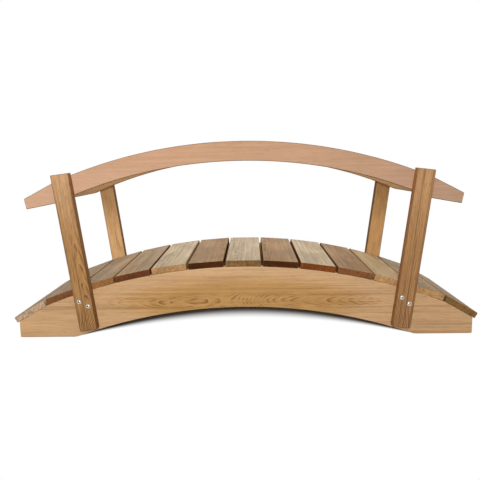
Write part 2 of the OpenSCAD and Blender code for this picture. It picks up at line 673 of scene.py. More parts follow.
    def _rings(self, grain: Grain) -> Rings:
        """Works out the growth rings.

        The distance of a point from the pith, bent by noise and by knots, counts rings. A ring runs from pale
        to dark and starts again. Near a flare the tangent of the angle round its root takes the rings' place.

        Args:
            grain: Where the point lies in the piece.

        Returns:
            What the rings show.
        """
        cut = self.cut
        aside = grain.across - cut.pith_across
        radial = (aside**2.0 + (grain.through - cut.pith_through) ** 2.0) ** 0.5
        sway = grain.noise(self.SWAY)
        flutter = self.FLUTTER_REACH * grain.noise(self.FLUTTER)
        jitter = self.JITTER_REACH * grain.noise(self.JITTER)
        distance = radial + cut.taper * grain.along + cut.sway * sway + flutter + jitter
        for knot in cut.knots:
            up = (grain.along - knot.along) / knot.stretch
            spread = up**2.0 + (grain.across - knot.across) ** 2.0
            distance = distance + knot.bend * math.e ** (spread * (-1.0 / knot.reach**2))
        count = distance / cut.ring
        late = (count % 1.0) ** self.LATE_POWER
        shown = 1.0 - abs(aside + self.WOBBLE * sway).step(self.FLAME_CORE * cut.flame, cut.flame)
        marked = shown * grain.noise(self.BREAK).step(*self.BREAK_STEP)
        for flare in cut.flares:
            up = grain.along - flare.along
            beside = grain.across - flare.across
            pull = 1.0 - ((up**2.0 + beside**2.0) ** 0.5).step(self.FLARE_CORE * flare.reach, flare.reach)
            own = (beside + flutter) / up / flare.step
            late = late + pull * ((own % 1.0) ** self.LATE_POWER - late)
            marked = marked.at_least(pull)
        return Rings(radial, sway, count, late, marked)

    def _sawn(self, bench: Bench, lie: Lie) -> Value:
        """How far the point lies on a face that takes the sawn ends' colour.

        Args:
            bench: Bench of the material.
            lie: Where the piece lies.

        Returns:
            1 on such a face, and 0 on the others.
        """
        normal = bench.node("ShaderNodeNewGeometry", {}, {}).outputs["Normal"]
        # Narrow faces take the ends' colour, partly the wood's own and partly painted shade.
        if self.narrow_tone_and_shade:
            return 1.0 - abs(bench.along(normal, lie.through)).step(*self.NARROW_STEP)
        return abs(bench.along(normal, lie.along)).step(*self.SAWN_STEP)

    def _long_faces(self, grain: Grain, rings: Rings, streak: Value) -> bpy.types.NodeSocket:
        """Colours the faces along the grain.

        Args:
            grain: Where the point lies in the piece.
            rings: What the rings show.
            streak: Noise that moves the edge of the outer wood.

        Returns:
            The colour.
        """
        bench = grain.bench
        outer = rings.radial + self.blush_rise * grain.along**2.0 + self.DRIFT * streak
        outer = outer.step(self.blush_from, self.blush_to)
        # A post whose foot darkens takes the outer wood's colour towards its head.
        if self.foot_shade > 0.0:
            outer = outer.at_least(self._height(grain).step(*self.HEAD_STEP))
        lines = rings.late * (self.LINE_FAINT + self.LINE_STRONG * rings.marked)
        colour = bench.mix(lines * self.lines, srgb(self.tone.early), srgb(self.tone.late))
        colour = bench.mix(outer * self.BLUSH_SHARE, colour, srgb(self.tone.blush))
        vein = grain.noise(self.VEIN).step(*self.VEIN_STEP)
        colour = bench.mix(vein * (self.VEIN_SHARE * self.figure), colour, srgb(self.tone.late))
        for seam in self.cut.seams:
            off_line = abs(grain.across - seam.across + self.WOBBLE * rings.sway)
            below = (seam.top - grain.along).step(0.0, -self.foot / 2)
            line = (1.0 - off_line.step(0.0, seam.half_width)) * below
            colour = bench.mix(line * seam.share, colour, srgb(self.tone.late))
        return colour


@dataclass(frozen=True)
class Zinc:
    """Bright zinc plating with faint clouds in its polish.

    Attributes:
        bright: Screen colour of the clean metal.
        dull: Screen colour of the clouds.
        shade_tone: Screen colour of the painted shade in a recess and round a rim.
        roughness: Mean roughness.
        spread: Spread of the roughness.
        cells: Noise cells for each metre.
    """

    bright: str = "c8c5bd"
    dull: str = "99968e"
    shade_tone: str = "4a4640"
    roughness: float = 0.16
    spread: float = 0.12
    cells: float = 260.0

    DETAIL = 2.0
    CLOUD_STEP = (0.0, 0.3)

    def material(self) -> bpy.types.Material:
        """Makes the metal's material, with noise in its colour and its polish, and painted shade where the
        point is marked.

        Returns:
            The material.
        """
        material = bpy.data.materials.new("zinc plating")
        bench = Bench(material)
        offset = bench.offset(np.zeros(3))
        place = [bench.along(offset, axis) * self.cells for axis in (X_AXIS, Y_AXIS, Z_AXIS)]
        cloud = bench.noise(place, self.DETAIL)
        plating = bench.mix(cloud.step(*self.CLOUD_STEP), srgb(self.bright), srgb(self.dull))
        # Marked points take the dark colour as painted shade.
        shader = bench.node(
            "ShaderNodeBsdfPrincipled",
            {},
            {
                "Base Color": bench.mix(bench.worn(), plating, srgb(self.shade_tone)),
                "Metallic": 1.0,
                "Roughness": self.roughness + self.spread * cloud,
            },
        )
        bench.node("ShaderNodeOutputMaterial", {}, {"Surface": shader.outputs[0]})
        return material


@dataclass
class Skin:
    """Surface of one piece.

    Attributes:
        points: Corner points, as an (n, 3) array.
        quads: Corners of the faces, as an (m, 4) array.
        smooth: Which faces are shaded as part of a curve.
        worn: How far each point lies in an eased edge or a recess, from 0 to 1, which sets its painted
            shading.
    """

    points: np.ndarray
    quads: np.ndarray
    smooth: np.ndarray
    worn: np.ndarray

    LEAST_CORNERS = 3

    @classmethod
    def of_rings(cls, rings: np.ndarray, smooth: np.ndarray, worn: np.ndarray) -> Skin:
        """Joins closed rings of points by rows of faces.

        Args:
            rings: Rings in order, as an (r, m, 3) array.
            smooth: Which faces are shaded as part of a curve, as an (r - 1, m) array.
            worn: How far each point lies in an eased edge or a recess, as an (r, m) array, which sets its
                painted shading.

        Returns:
            The skin between the first ring and the last.
        """
        count, size, _ = rings.shape
        row = np.arange(count - 1)[:, None] * size
        here = np.arange(size)[None, :]
        beside = (here + 1) % size
        quads = np.stack([row + here, row + beside, row + size + beside, row + size + here], axis=-1)
        return cls(rings.reshape(-1, 3), quads.reshape(-1, 4), smooth.reshape(-1), worn.reshape(-1))

    @classmethod
    def joined(cls, skins: Sequence[Skin]) -> Skin:
        """Puts several skins together as one.

        Args:
            skins: The skins.

        Returns:
            One skin with all their points and faces.
        """
        shifts = np.cumsum([0] + [len(skin.points) for skin in skins[:-1]])
        return cls(
            np.concatenate([skin.points for skin in skins]),
            np.concatenate([skin.quads + shift for skin, shift in zip(skins, shifts)]),
            np.concatenate([skin.smooth for skin in skins]),
            np.concatenate([skin.worn for skin in skins]),
        )

    def piece(self, name: str) -> bpy.types.Object:
        """Makes the skin an object of the scene.

        Points that coincide are merged, so that seams and poles close, and a face that loses a corner becomes
        a triangle. The faces are turned to look outwards, by the sign of the volume that they enclose.

        Args:
            name: Name of the piece.

        Returns:
            The new object.
        """
        keys = np.round(self.points / MERGE_STEP).astype(np.int64)
        _, first, merged = np.unique(keys, axis=0, return_index=True, return_inverse=True)
        points = self.points[first]
        quads = merged.reshape(-1)[self.quads]
        a, b, c, d = (points[quads[:, i]] for i in range(4))
        volume = np.sum(a * (np.cross(b, c) + np.cross(c, d)))
        if volume < 0:
            quads = quads[:, ::-1]
        kept = quads != np.roll(quads, -1, axis=1)
        whole = kept.sum(axis=1) >= self.LEAST_CORNERS
        faces = [quad[corner].tolist() for quad, corner in zip(quads[whole], kept[whole])]
        mesh = bpy.data.meshes.new(name)
        mesh.from_pydata(points.tolist(), [], faces)
        mesh.polygons.foreach_set("use_smooth", self.smooth[whole])
        mark = mesh.attributes.new(PAINTED_SHADING_MARK, "FLOAT", "POINT")
        mark.data.foreach_set("value", self.worn[first].astype(np.float32))
        mesh.update()
        piece = bpy.data.objects.new(name, mesh)
        bpy.context.scene.collection.objects.link(piece)
        return piece


@dataclass(frozen=True)
class Bar:
    """Bar of wood between two edge lines, with a rounded edge wherever two faces meet.

    Attributes:
        lower: Points along the middle of one narrow face, as an (n, 3) array.
        upper: Points along the middle of the other narrow face, one for each of lower's.
        through: Unit vector through the thickness.
        thickness: Thickness of the bar.
        ease: Radius of the long edges.
        end_ease: Radius of the edges round both ends.
    """

    lower: np.ndarray
    upper: np.ndarray
    through: np.ndarray
    thickness: float
    ease: float
    end_ease: float

    CORNER_STEPS = 4
    END_STEPS = 3

    def skin(self) -> Skin:
        """Carries a rounded rectangle along the bar and closes both ends.

        At each station the section's width runs from lower to upper. Towards an end the section draws in
        along a quarter circle, and the end face closes on the line halfway between the broad faces.

        Returns:
            The bar's skin.
        """
        turn = np.linspace(math.pi / 2, 0.0, self.END_STEPS + 1)
        back = self.end_ease * (1.0 - np.sin(turn))
        draw = self.end_ease * (1.0 - np.cos(turn))
        lower, upper = (self._stations(edge, back) for edge in (self.lower, self.upper))
        inset = np.concatenate([draw[:1], draw, np.zeros(len(self.lower) - 2), draw[::-1], draw[:1]])
        closing = np.zeros(len(inset), bool)
        closing[[0, -1]] = True

        length = np.linalg.norm(upper - lower, axis=1)
        half_t = self.thickness / 2 - inset
        half_w = length / 2 - inset - np.where(closing, half_t, 0.0)
        half_t = np.where(closing, 0.0, half_t)
        radius = np.where(closing, 0.0, self.ease - inset)

        quarter = np.linspace(0.0, math.pi / 2, self.CORNER_STEPS + 1)
        angle = np.concatenate([quarter + corner * math.pi / 2 for corner in range(4)])
        sense_w = np.repeat([1.0, -1.0, -1.0, 1.0], len(quarter))
        sense_t = np.repeat([1.0, 1.0, -1.0, -1.0], len(quarter))
        w = np.outer(half_w - radius, sense_w) + np.outer(radius, np.cos(angle))
        t = np.outer(half_t - radius, sense_t) + np.outer(radius, np.sin(angle))
        across = (upper - lower) / length[:, None]
        centre = (lower + upper) / 2
        rings = centre[:, None] + w[..., None] * across[:, None] + t[..., None] * self.through

        smooth = np.zeros((len(rings) - 1, len(angle)), bool)
        smooth[:] = np.arange(len(angle)) % len(quarter) != self.CORNER_STEPS
        smooth[1 : self.END_STEPS + 1] = True
        smooth[-self.END_STEPS - 1 : -1] = True
        smooth[[0, -1]] = False

        # Mark for painted shading: the rounded edges along the bar and round its ends.
        round_end = np.zeros(len(rings))
        round_end[1 : self.END_STEPS + 2] = np.sin(2 * turn)
        round_end[-self.END_STEPS - 2 : -1] = np.sin(2 * turn)
        worn = np.maximum(round_end[:, None], np.abs(np.sin(2 * angle)))
        worn[[0, 1, -2, -1]] = 0.0
        return Skin.of_rings(rings, smooth, worn)

    @staticmethod
    def _stations(edge: np.ndarray, back: np.ndarray) -> np.ndarray:
        """Points of an edge line, with those of the rounded ends.

        Args:
            edge: Points along the edge line.
            back: Distances from an end at which its rounding has stations.

        Returns:
            The points, with each end's own point twice.
        """
        ends = []
        for tip, inner in ((edge[0], edge[1]), (edge[-1], edge[-2])):
            run = (inner - tip) / np.linalg.norm(inner - tip)
            ends.append(tip + back[:, None] * run)
        start, stop = ends
        return np.concatenate([start[:1], start, edge[1:-1], stop[::-1], stop[:1]])


@dataclass(frozen=True)
class Bow:
    """Arc in an upright plane along the span, highest at mid-span.

    Attributes:
        crown: Height at mid-span.
        radius: Radius of the arc.
    """

    crown: float
    radius: float

    @classmethod
    def over(cls, half_span: float, rise: float, crown: float) -> Bow:
        """The bow with a given half span and rise."""
        return cls(crown, (half_span**2 + rise**2) / (2 * rise))

    def height(self, x: np.ndarray) -> np.ndarray:
        """Heights of the arc over places along the span."""
        return self.crown - self.radius + np.sqrt(self.radius**2 - x**2)


def spaced(knots: Sequence[float], step: float) -> np.ndarray:
    """Spaces numbers evenly between knots.

    Args:
        knots: Numbers that are kept, in rising order.
        step: Largest distance between two numbers.

    Returns:
        The knots, and the numbers between them.
    """
    spans = [
        np.linspace(low, high, math.ceil((high - low) / step) + 1)[:-1]
        for low, high in zip(knots[:-1], knots[1:])
    ]
    return np.concatenate([*spans, knots[-1:]])


def upright(x: np.ndarray, y: float, z: np.ndarray) -> np.ndarray:
    """Points of a line in an upright plane along the span."""
    return np.stack([x, np.full(len(x), y), z], axis=1)


def box_of(node: str) -> tuple[np.ndarray, np.ndarray]:
    """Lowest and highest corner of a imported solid."""
    low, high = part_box(node)
    return np.array(low), np.array(high)


def settle(
    piece: bpy.types.Object, material: bpy.types.Material, node: Optional[str] = None
) -> bpy.types.Object:
    """Gives a piece its finish and its place in the frame.

    Args:
        piece: The piece.
        material: Its finish.
        node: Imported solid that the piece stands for, if there is one.

    Returns:
        The piece.
    """
    piece.data.materials.append(material)
    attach(piece, BODY)
    if node is not None:
        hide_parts(node)
    return piece


@dataclass
class SideBeam:
    """Bowed beam on two flat feet, with an arch cut under it.

    Attributes:
        side: Side of the bridge that the beam is on.
        finish: Its wood.
        ridge_height: Height where the bow meets the slanted end cut.
        nose_length: Length of the end cut.
        end_height: Height of the end face.
        arch_rise: Rise of the arch.
        foot_length: Length of a foot.
        ease: Radius of the long edges.
        end_ease: Radius of the edges round both ends.
        step: Distance between stations.
    """

    side: Side
    finish: Cedar
    ridge_height: float = 0.130
    nose_length: float = 0.112
    end_height: float = 0.065
    arch_rise: float = 0.118
    foot_length: float = 0.233
    ease: float = 0.0025
    end_ease: float = 0.0015
    step: float = 0.008

    def build(self) -> list[bpy.types.Object]:
        """Makes the beam: along the span it reaches from the arch or foot up to the bow or end cut.

        Returns:
            The beam alone.
        """
        node = named(self.side, "beam")
        low, high = box_of(node)
        half = (high[0] - low[0]) / 2
        ridge = half - self.nose_length
        foot = half - self.foot_length
        x = spaced((-half, -ridge, -foot, foot, ridge, half), self.step)
        bow = Bow.over(ridge, high[2] - self.ridge_height, high[2])
        arch = Bow.over(foot, self.arch_rise, self.arch_rise)
        nose_rise = (self.ridge_height - self.end_height) / self.nose_length
        top = np.minimum(bow.height(x), self.end_height + (half - np.abs(x)) * nose_rise)
        bottom = np.maximum(arch.height(x), low[2])
        middle = (low + high) / 2
        lower = upright(x, middle[1], bottom)
        upper = upright(x, middle[1], top)
        bar = Bar(lower, upper, Y_AXIS, high[1] - low[1], self.ease, self.end_ease)
        lie = Lie(middle, X_AXIS, Z_AXIS, -self.side.value * Y_AXIS)
        piece = bar.skin().piece(f"{node}_cedar")
        return [settle(piece, self.finish.material(piece.name, lie), node)]


@dataclass
class Handrail:
    """Bowed handrail with a tapered tail past each post.

    Attributes:
        side: Side of the bridge that the handrail is on.
        finish: Its wood.
        radius: Radius of the top edge.
        depth: Depth from the top edge to the underside.
        tail_length: Length of a tail along its underside.
        tail_slope: Slope of a tail's underside, in radians.
        tail_end: Height of the square cut at the end of a tail.
        ease: Radius of the long edges.
        end_ease: Radius of the edges round both ends.
        step: Distance between stations.
    """

    side: Side
    finish: Cedar
    radius: float = 1.909
    depth: float = 0.076
    tail_length: float = 0.114
    tail_slope: float = math.radians(10.5)
    tail_end: float = 0.042
    ease: float = 0.003
    end_ease: float = 0.002
    step: float = 0.008

    def build(self) -> list[bpy.types.Object]:
        """Makes the handrail: stations fan out round the bow, and lean over along a tail to its end cut.

        Returns:
            The handrail alone.
        """
        node = named(self.side, "handrail")
        low, high = box_of(node)
        middle = (low + high) / 2
        run = np.array([math.cos(self.tail_slope), -math.sin(self.tail_slope)])
        square = np.array([math.sin(self.tail_slope), math.cos(self.tail_slope)])
        end_top = np.array([high[0], low[2] + self.tail_end * square[1]])
        end_bottom = end_top - self.tail_end * square
        tail_x = end_bottom[0] - self.tail_length * run[0]
        edges = []
        for bow, tip in (
            (Bow(high[2] - self.depth, self.radius - self.depth), end_bottom),
            (Bow(high[2], self.radius), end_top),
        ):
            count = math.ceil(2 * tail_x / self.step)
            reach = math.asin(tail_x / bow.radius)
            x = bow.radius * np.sin(np.linspace(-reach, reach, count))
            root = np.array([tail_x, bow.height(np.array([tail_x]))[0]])
            share = np.linspace(0.0, 1.0, math.ceil(self.tail_length / self.step))[1:, None]
            tail = root + share * (tip - root)
            edge_x = np.concatenate([-tail[::-1, 0], x, tail[:, 0]])
            edge_z = np.concatenate([tail[::-1, 1], bow.height(x), tail[:, 1]])
            edges.append(upright(edge_x, middle[1], edge_z))
        bar = Bar(*edges, Y_AXIS, high[1] - low[1], self.ease, self.end_ease)
        lie = Lie(middle, X_AXIS, Z_AXIS, -self.side.value * Y_AXIS)
        piece = bar.skin().piece(f"{node}_cedar")
        return [settle(piece, self.finish.material(piece.name, lie), node)]


@dataclass
class Post:
    """Leaning post on the outside of a beam.

    Attributes:
        side: Side of the bridge that the post is on.
        end: End of the bridge that the post is at.
        finish: Its wood.
        width: Width, seen from the side of the bridge.
        lean: Outward lean from the vertical, in radians.
        ease: Radius of the long edges.
        end_ease: Radius of the edges round both ends.
        stations: Number of stations along the post.
    """

    side: Side
    end: End
    finish: Cedar
    width: float = 0.070
    lean: float = math.radians(7.25)
    ease: float = 0.003
    end_ease: float = 0.0028
    stations: int = 12

    def lie(self) -> Lie:
        """Works out how the post lies.

        Returns:
            The post's middle, and its grain along its leaning axis.
        """
        low, high = box_of(named(self.side, self.end, "post"))
        axis = np.array([self.end.value * math.sin(self.lean), 0.0, math.cos(self.lean)])
        return Lie((low + high) / 2, axis, np.cross(Y_AXIS, axis), -self.side.value * Y_AXIS)

    def build(self) -> list[bpy.types.Object]:
        """Makes the post: a straight bar along its leaning axis.

        Returns:
            The post alone.
        """
        node = named(self.side, self.end, "post")
        low, high = box_of(node)
        lie = self.lie()
        length = (high[2] - low[2] - self.width * math.sin(self.lean)) / math.cos(self.lean)
        centre = lie.middle + np.linspace(-length / 2, length / 2, self.stations)[:, None] * lie.along
        half = self.width / 2 * lie.across
        bar = Bar(centre - half, centre + half, Y_AXIS, high[1] - low[1], self.ease, self.end_ease)
        piece = bar.skin().piece(f"{node}_cedar")
        return [settle(piece, self.finish.material(piece.name, lie), node)]


class BoardTop(Enum):
    """Colours of a deck board's broad faces: early wood, late wood and outer rings."""

    PALE = ("c6b192", "927a5c", "cbb79a")
    BROWN = ("a07d58", "66482e", "a98b6a")
    GREY = ("a98e6d", "775d43", "b1997d")
    HONEY = ("b99b72", "8a6a45", "c0a57f")


class BoardEnd(Enum):
    """Colour of a deck board's sawn faces."""

    DARK = "44250f"
    RED = "623820"
    ORANGE = "743f1b"
    RUST = "7a4f2f"
    OLIVE = "7c5c37"
    OCHRE = "96693c"
    TAN = "ad8558"
    PINK = "bda085"


@dataclass
class Deck:
    """Thirteen boards laid across the beams, eleven round the bow and one tilted over each end.

    Attributes:
        width: Width of a board.
        thickness: Thickness of a board.
        ease: Radius of the long edges.
        end_ease: Radius of the edges round both ends.
        stations: Number of stations along a board.
        seed: Start of the random numbers that place each board in its log.
    """

    width: float = 0.140
    thickness: float = 0.025
    ease: float = 0.003
    end_ease: float = 0.0012
    stations: int = 8
    seed: int = 13

    LOOKS = (
        (BoardTop.GREY, BoardEnd.PINK),
        (BoardTop.GREY, BoardEnd.RUST),
        (BoardTop.GREY, BoardEnd.OCHRE),
        (BoardTop.GREY, BoardEnd.RED),
        (BoardTop.PALE, BoardEnd.TAN),
        (BoardTop.BROWN, BoardEnd.DARK),
        (BoardTop.PALE, BoardEnd.OLIVE),
        (BoardTop.BROWN, BoardEnd.DARK),
        (BoardTop.PALE, BoardEnd.ORANGE),
        (BoardTop.BROWN, BoardEnd.RUST),
        (BoardTop.HONEY, BoardEnd.TAN),
        (BoardTop.GREY, BoardEnd.TAN),
        (BoardTop.GREY, BoardEnd.OLIVE),
    )
    # Painted shade along the boards' eased edges.
    EDGE = "8a6a48"
    PITH_ASIDE = (-0.06, 0.06)
    PITH_DEPTH = (0.03, 0.09)
    RING = (0.0022, 0.0034)
    TAPER = (-0.02, 0.02)
    SHIFT = (0.0, 90.0)
    BLUSH_DEPTH = 0.05

    def build(self) -> list[bpy.types.Object]:
        """Makes the boards from left to right."""
        draw = np.random.default_rng(self.seed)
        return [self._board(number, *look, draw) for number, look in enumerate(self.LOOKS, start=1)]

    def lie(self, number: int) -> Lie:
        """Works out how a board lies from its solid's box.

        A rounded rectangle of inner width w and inner thickness t, tilted by an angle, has a box that
        measures w cos + t sin along X and w sin + t cos along Z, plus two radii. The two are solved for the
        angle.

        Args:
            number: Number of the board, from the left.

        Returns:
            The board's middle and grain.
        """
        low, high = box_of(f"deck_board_{number:02d}")
        span = high - low - 2 * self.ease
        inner_w = self.width - 2 * self.ease
        inner_t = self.thickness - 2 * self.ease
        cosine = inner_w * span[0] - inner_t * span[2]
        sine = inner_w * span[2] - inner_t * span[0]
        middle = (low + high) / 2
        tilt = math.atan2(sine, cosine) * np.sign(middle[0])
        across = np.array([math.cos(tilt), 0.0, -math.sin(tilt)])
        through = np.array([math.sin(tilt), 0.0, math.cos(tilt)])
        return Lie(middle, Y_AXIS, across, through)

    def _board(
        self, number: int, top: BoardTop, sawn: BoardEnd, draw: np.random.Generator
    ) -> bpy.types.Object:
        """Makes one board.

        Args:
            number: Number of the board, from the left.
            top: Colours of its long faces.
            sawn: Colour of its ends.
            draw: Random numbers that place it in its log.

        Returns:
            The finished board.
        """
        node = f"deck_board_{number:02d}"
        low, high = box_of(node)
        lie = self.lie(number)
        centre = lie.middle + np.linspace(-0.5, 0.5, self.stations)[:, None] * (high[1] - low[1]) * Y_AXIS
        half = self.width / 2 * lie.across
        bar = Bar(centre - half, centre + half, lie.through, self.thickness, self.ease, self.end_ease)
        cut = Cut(
            pith_across=draw.uniform(*self.PITH_ASIDE),
            pith_through=-draw.uniform(*self.PITH_DEPTH),
            ring=draw.uniform(*self.RING),
            taper=draw.uniform(*self.TAPER),
        )
        depth = abs(cut.pith_through)
        finish = Cedar(
            Tone(*top.value, sawn.value, self.EDGE),
            cut,
            blush_from=depth,
            blush_to=depth + self.BLUSH_DEPTH,
            figure=0.8,
            clouds=1.0,
            gloss=0.05,
            narrow_tone_and_shade=True,
            seed=draw.uniform(*self.SHIFT),
        )
        piece = bar.skin().piece(f"{node}_cedar")
        return settle(piece, finish.material(piece.name, lie), node)


def turned(
    seat: np.ndarray,
    inward: np.ndarray,
    depth: np.ndarray,
    radius: np.ndarray,
    smooth: np.ndarray,
    worn: np.ndarray,
) -> Skin:
    """Surface round an axis: each ring lies at a depth along the axis, with a radius at each angle.

    Args:
        seat: Point on the axis from which depths count.
        inward: Unit vector along the axis, which never runs along X.
        depth: Depth of each ring.
        radius: Distance of each point from the axis, as an (r, m) array.
        smooth: Which rows of faces are shaded as part of a curve, one fewer than the rings.
        worn: How far each ring lies in a recess, which sets its painted shade.

    Returns:
        The surface.
    """
    around = radius.shape[1]
    angle = np.linspace(0.0, 2 * math.pi, around, endpoint=False)
    start = np.cross(inward, X_AXIS)
    start = start / np.linalg.norm(start)
    spoke = np.cos(angle)[:, None] * np.cross(start, inward) + np.sin(angle)[:, None] * start
    rings = seat + depth[:, None, None] * inward + radius[..., None] * spoke
    smooth, worn = (np.repeat(row[:, None], around, axis=1) for row in (smooth, worn))
    return Skin.of_rings(rings, smooth, worn)


@dataclass
class Bolts:
    """Carriage bolts through the feet of the posts, each with a washer and a nut inside the beam.

    Attributes:
        finish: Plating of the metal.
        bolt_d: Diameter of the shank.
        head_d: Diameter of the domed head.
        head_h: Height of the domed head.
        rim: Thickness of the head at its rim.
        thread_l: Length of the thread.
        pitch: Distance between two turns of the thread.
        thread_h: Height of the thread.
        chamfer: Drop of a nut's corners.
        ease: Radius of a washer's edges.
        around: Number of points round a ring.
    """

    finish: Zinc
    bolt_d: float = 0.008
    head_d: float = 0.018
    head_h: float = 0.0045
    rim: float = 0.0006
    thread_l: float = 0.016
    pitch: float = 0.00125
    thread_h: float = 0.0006
    chamfer: float = 0.0009
    ease: float = 0.0004
    around: int = 48

    DOME_STEPS = 14
    TURN_STEPS = 8
    EDGE_STEPS = 4
    CHAMFER_STEPS = 5
    FACE_SHARE = 0.97
    HALF_FLAT = math.pi / 6

    def build(self) -> list[bpy.types.Object]:
        """Makes the eight sets of bolt, washer and nut.

        Returns:
            The pieces, set by set.
        """
        material = self.finish.material()
        pieces = []
        for side in Side:
            for end in End:
                for level in Level:
                    for part, make in (("bolt", self._bolt), ("washer", self._washer), ("nut", self._nut)):
                        node = named(side, end, level, part)
                        low, high = box_of(node)
                        middle = (low + high) / 2
                        outer = low[1] if side is Side.NEAR else high[1]
                        seat = np.array([middle[0], outer, middle[2]])
                        skin = make(seat, -side.value * Y_AXIS, high - low)
                        piece = skin.piece(f"{node}_plated")
                        pieces.append(settle(piece, material, node))
        return pieces

    def _bolt(self, seat: np.ndarray, inward: np.ndarray, size: np.ndarray) -> Skin:
        """Dome, rim, shank and thread, turned about one axis.

        The dome is an arc through the rim. Over the last part of the shank the radius falls by the height of
        a triangular wave that climbs one pitch in each turn.

        Args:
            seat: Top of the dome.
            inward: Direction from the head to the thread.
            size: Size of the solid's box.

        Returns:
            The bolt's skin.
        """
        dome_h = self.head_h - self.rim
        dome = Bow.over(self.head_d / 2, dome_h, 0.0)
        dome_r = self.head_d / 2 * np.sin(np.linspace(0.0, math.pi / 2, self.DOME_STEPS))
        dome_z = -dome.height(dome_r)
        shank_z = np.array([self.head_h, self.head_h, size[1] - self.thread_l])
        shank_r = np.array([self.head_d / 2, self.bolt_d / 2, self.bolt_d / 2])
        thread_z = np.arange(size[1] - self.thread_l, size[1], self.pitch / self.TURN_STEPS)
        thread_r = np.full(len(thread_z), self.bolt_d / 2)
        depth = np.concatenate([dome_z, shank_z, thread_z, [size[1], size[1]]])
        radius = np.concatenate([dome_r, shank_r, thread_r, [self.bolt_d / 2, 0.0]])
        angle = np.linspace(0.0, 1.0, self.around, endpoint=False)
        turns = depth[:, None] / self.pitch - angle
        wave = np.abs(2.0 * (turns - np.floor(turns)) - 1.0)
        threaded = (depth > size[1] - self.thread_l) & (radius > 0.0)
        tip = np.clip((depth - size[1]) / self.pitch + 1.0, 0.0, 1.0)
        radius = radius[:, None] - np.where(threaded, 1.0, 0.0)[:, None] * self.thread_h * wave
        radius = radius - np.where(threaded, tip, 0.0)[:, None] * self.thread_h
        smooth = np.ones(len(depth) - 1, bool)
        smooth[-1] = False
        worn = np.zeros(len(depth))
        # Painted shade round the head's rim, where it sits on the wood.
        worn[len(dome_z) - 1 : len(dome_z) + 1] = 1.0
        return turned(seat, inward, depth, radius, smooth, worn)

    def _washer(self, seat: np.ndarray, inward: np.ndarray, size: np.ndarray) -> Skin:
        """Flat ring with rounded outer edges, turned about the bolt's axis.

        Args:
            seat: Middle of the face on the beam.
            inward: Direction away from the beam.
            size: Size of the solid's box.

        Returns:
            The washer's skin.
        """
        outer = size[0] / 2
        bore = self.bolt_d / 2
        quarter = np.linspace(0.0, math.pi / 2, self.EDGE_STEPS)
        low = self.ease * (1.0 - np.cos(quarter))
        wide = outer - self.ease + self.ease * np.sin(quarter)
        depth = np.concatenate([[0.0], low, size[1] - low[::-1], [size[1], 0.0]])
        radius = np.concatenate([[bore], wide, wide[::-1], [bore, bore]])
        curve = [True] * (self.EDGE_STEPS - 1)
        smooth = np.array([False, *curve, False, *curve, False, True])
        radius = np.repeat(radius[:, None], self.around, axis=1)
        return turned(seat, inward, depth, radius, smooth, np.zeros(len(depth)))

    def _nut(self, seat: np.ndarray, inward: np.ndarray, size: np.ndarray) -> Skin:
        """Hexagon whose corners are cut by a cone at both faces.

        At each angle the radius is the smaller of the hexagon's and the cone's.

        Args:
            seat: Middle of the face on the washer.
            inward: Direction away from the washer.
            size: Size of the solid's box.

        Returns:
            The nut's skin.
        """
        corner = max(size[0], size[2]) / 2
        flat = corner * math.cos(self.HALF_FLAT)
        angle = np.linspace(0.0, 2 * math.pi, self.around, endpoint=False)
        hexagon = flat / np.cos((angle + self.HALF_FLAT) % (2 * self.HALF_FLAT) - self.HALF_FLAT)
        rise = np.linspace(0.0, self.chamfer, self.CHAMFER_STEPS)
        face = self.FACE_SHARE * flat
        cone = face + rise / self.chamfer * (corner - face)
        depth = np.concatenate([[0.0], rise, size[1] - rise[::-1], [size[1], 0.0]])
        limit = np.concatenate([[0.0], cone, cone[::-1], [0.0, 0.0]])
        radius = np.minimum(hexagon, limit[:, None])
        radius[[0, -2, -1]] = self.bolt_d / 2
        smooth = np.zeros(len(depth) - 1, bool)
        return turned(seat, inward, depth, radius, smooth, np.zeros(len(depth)))


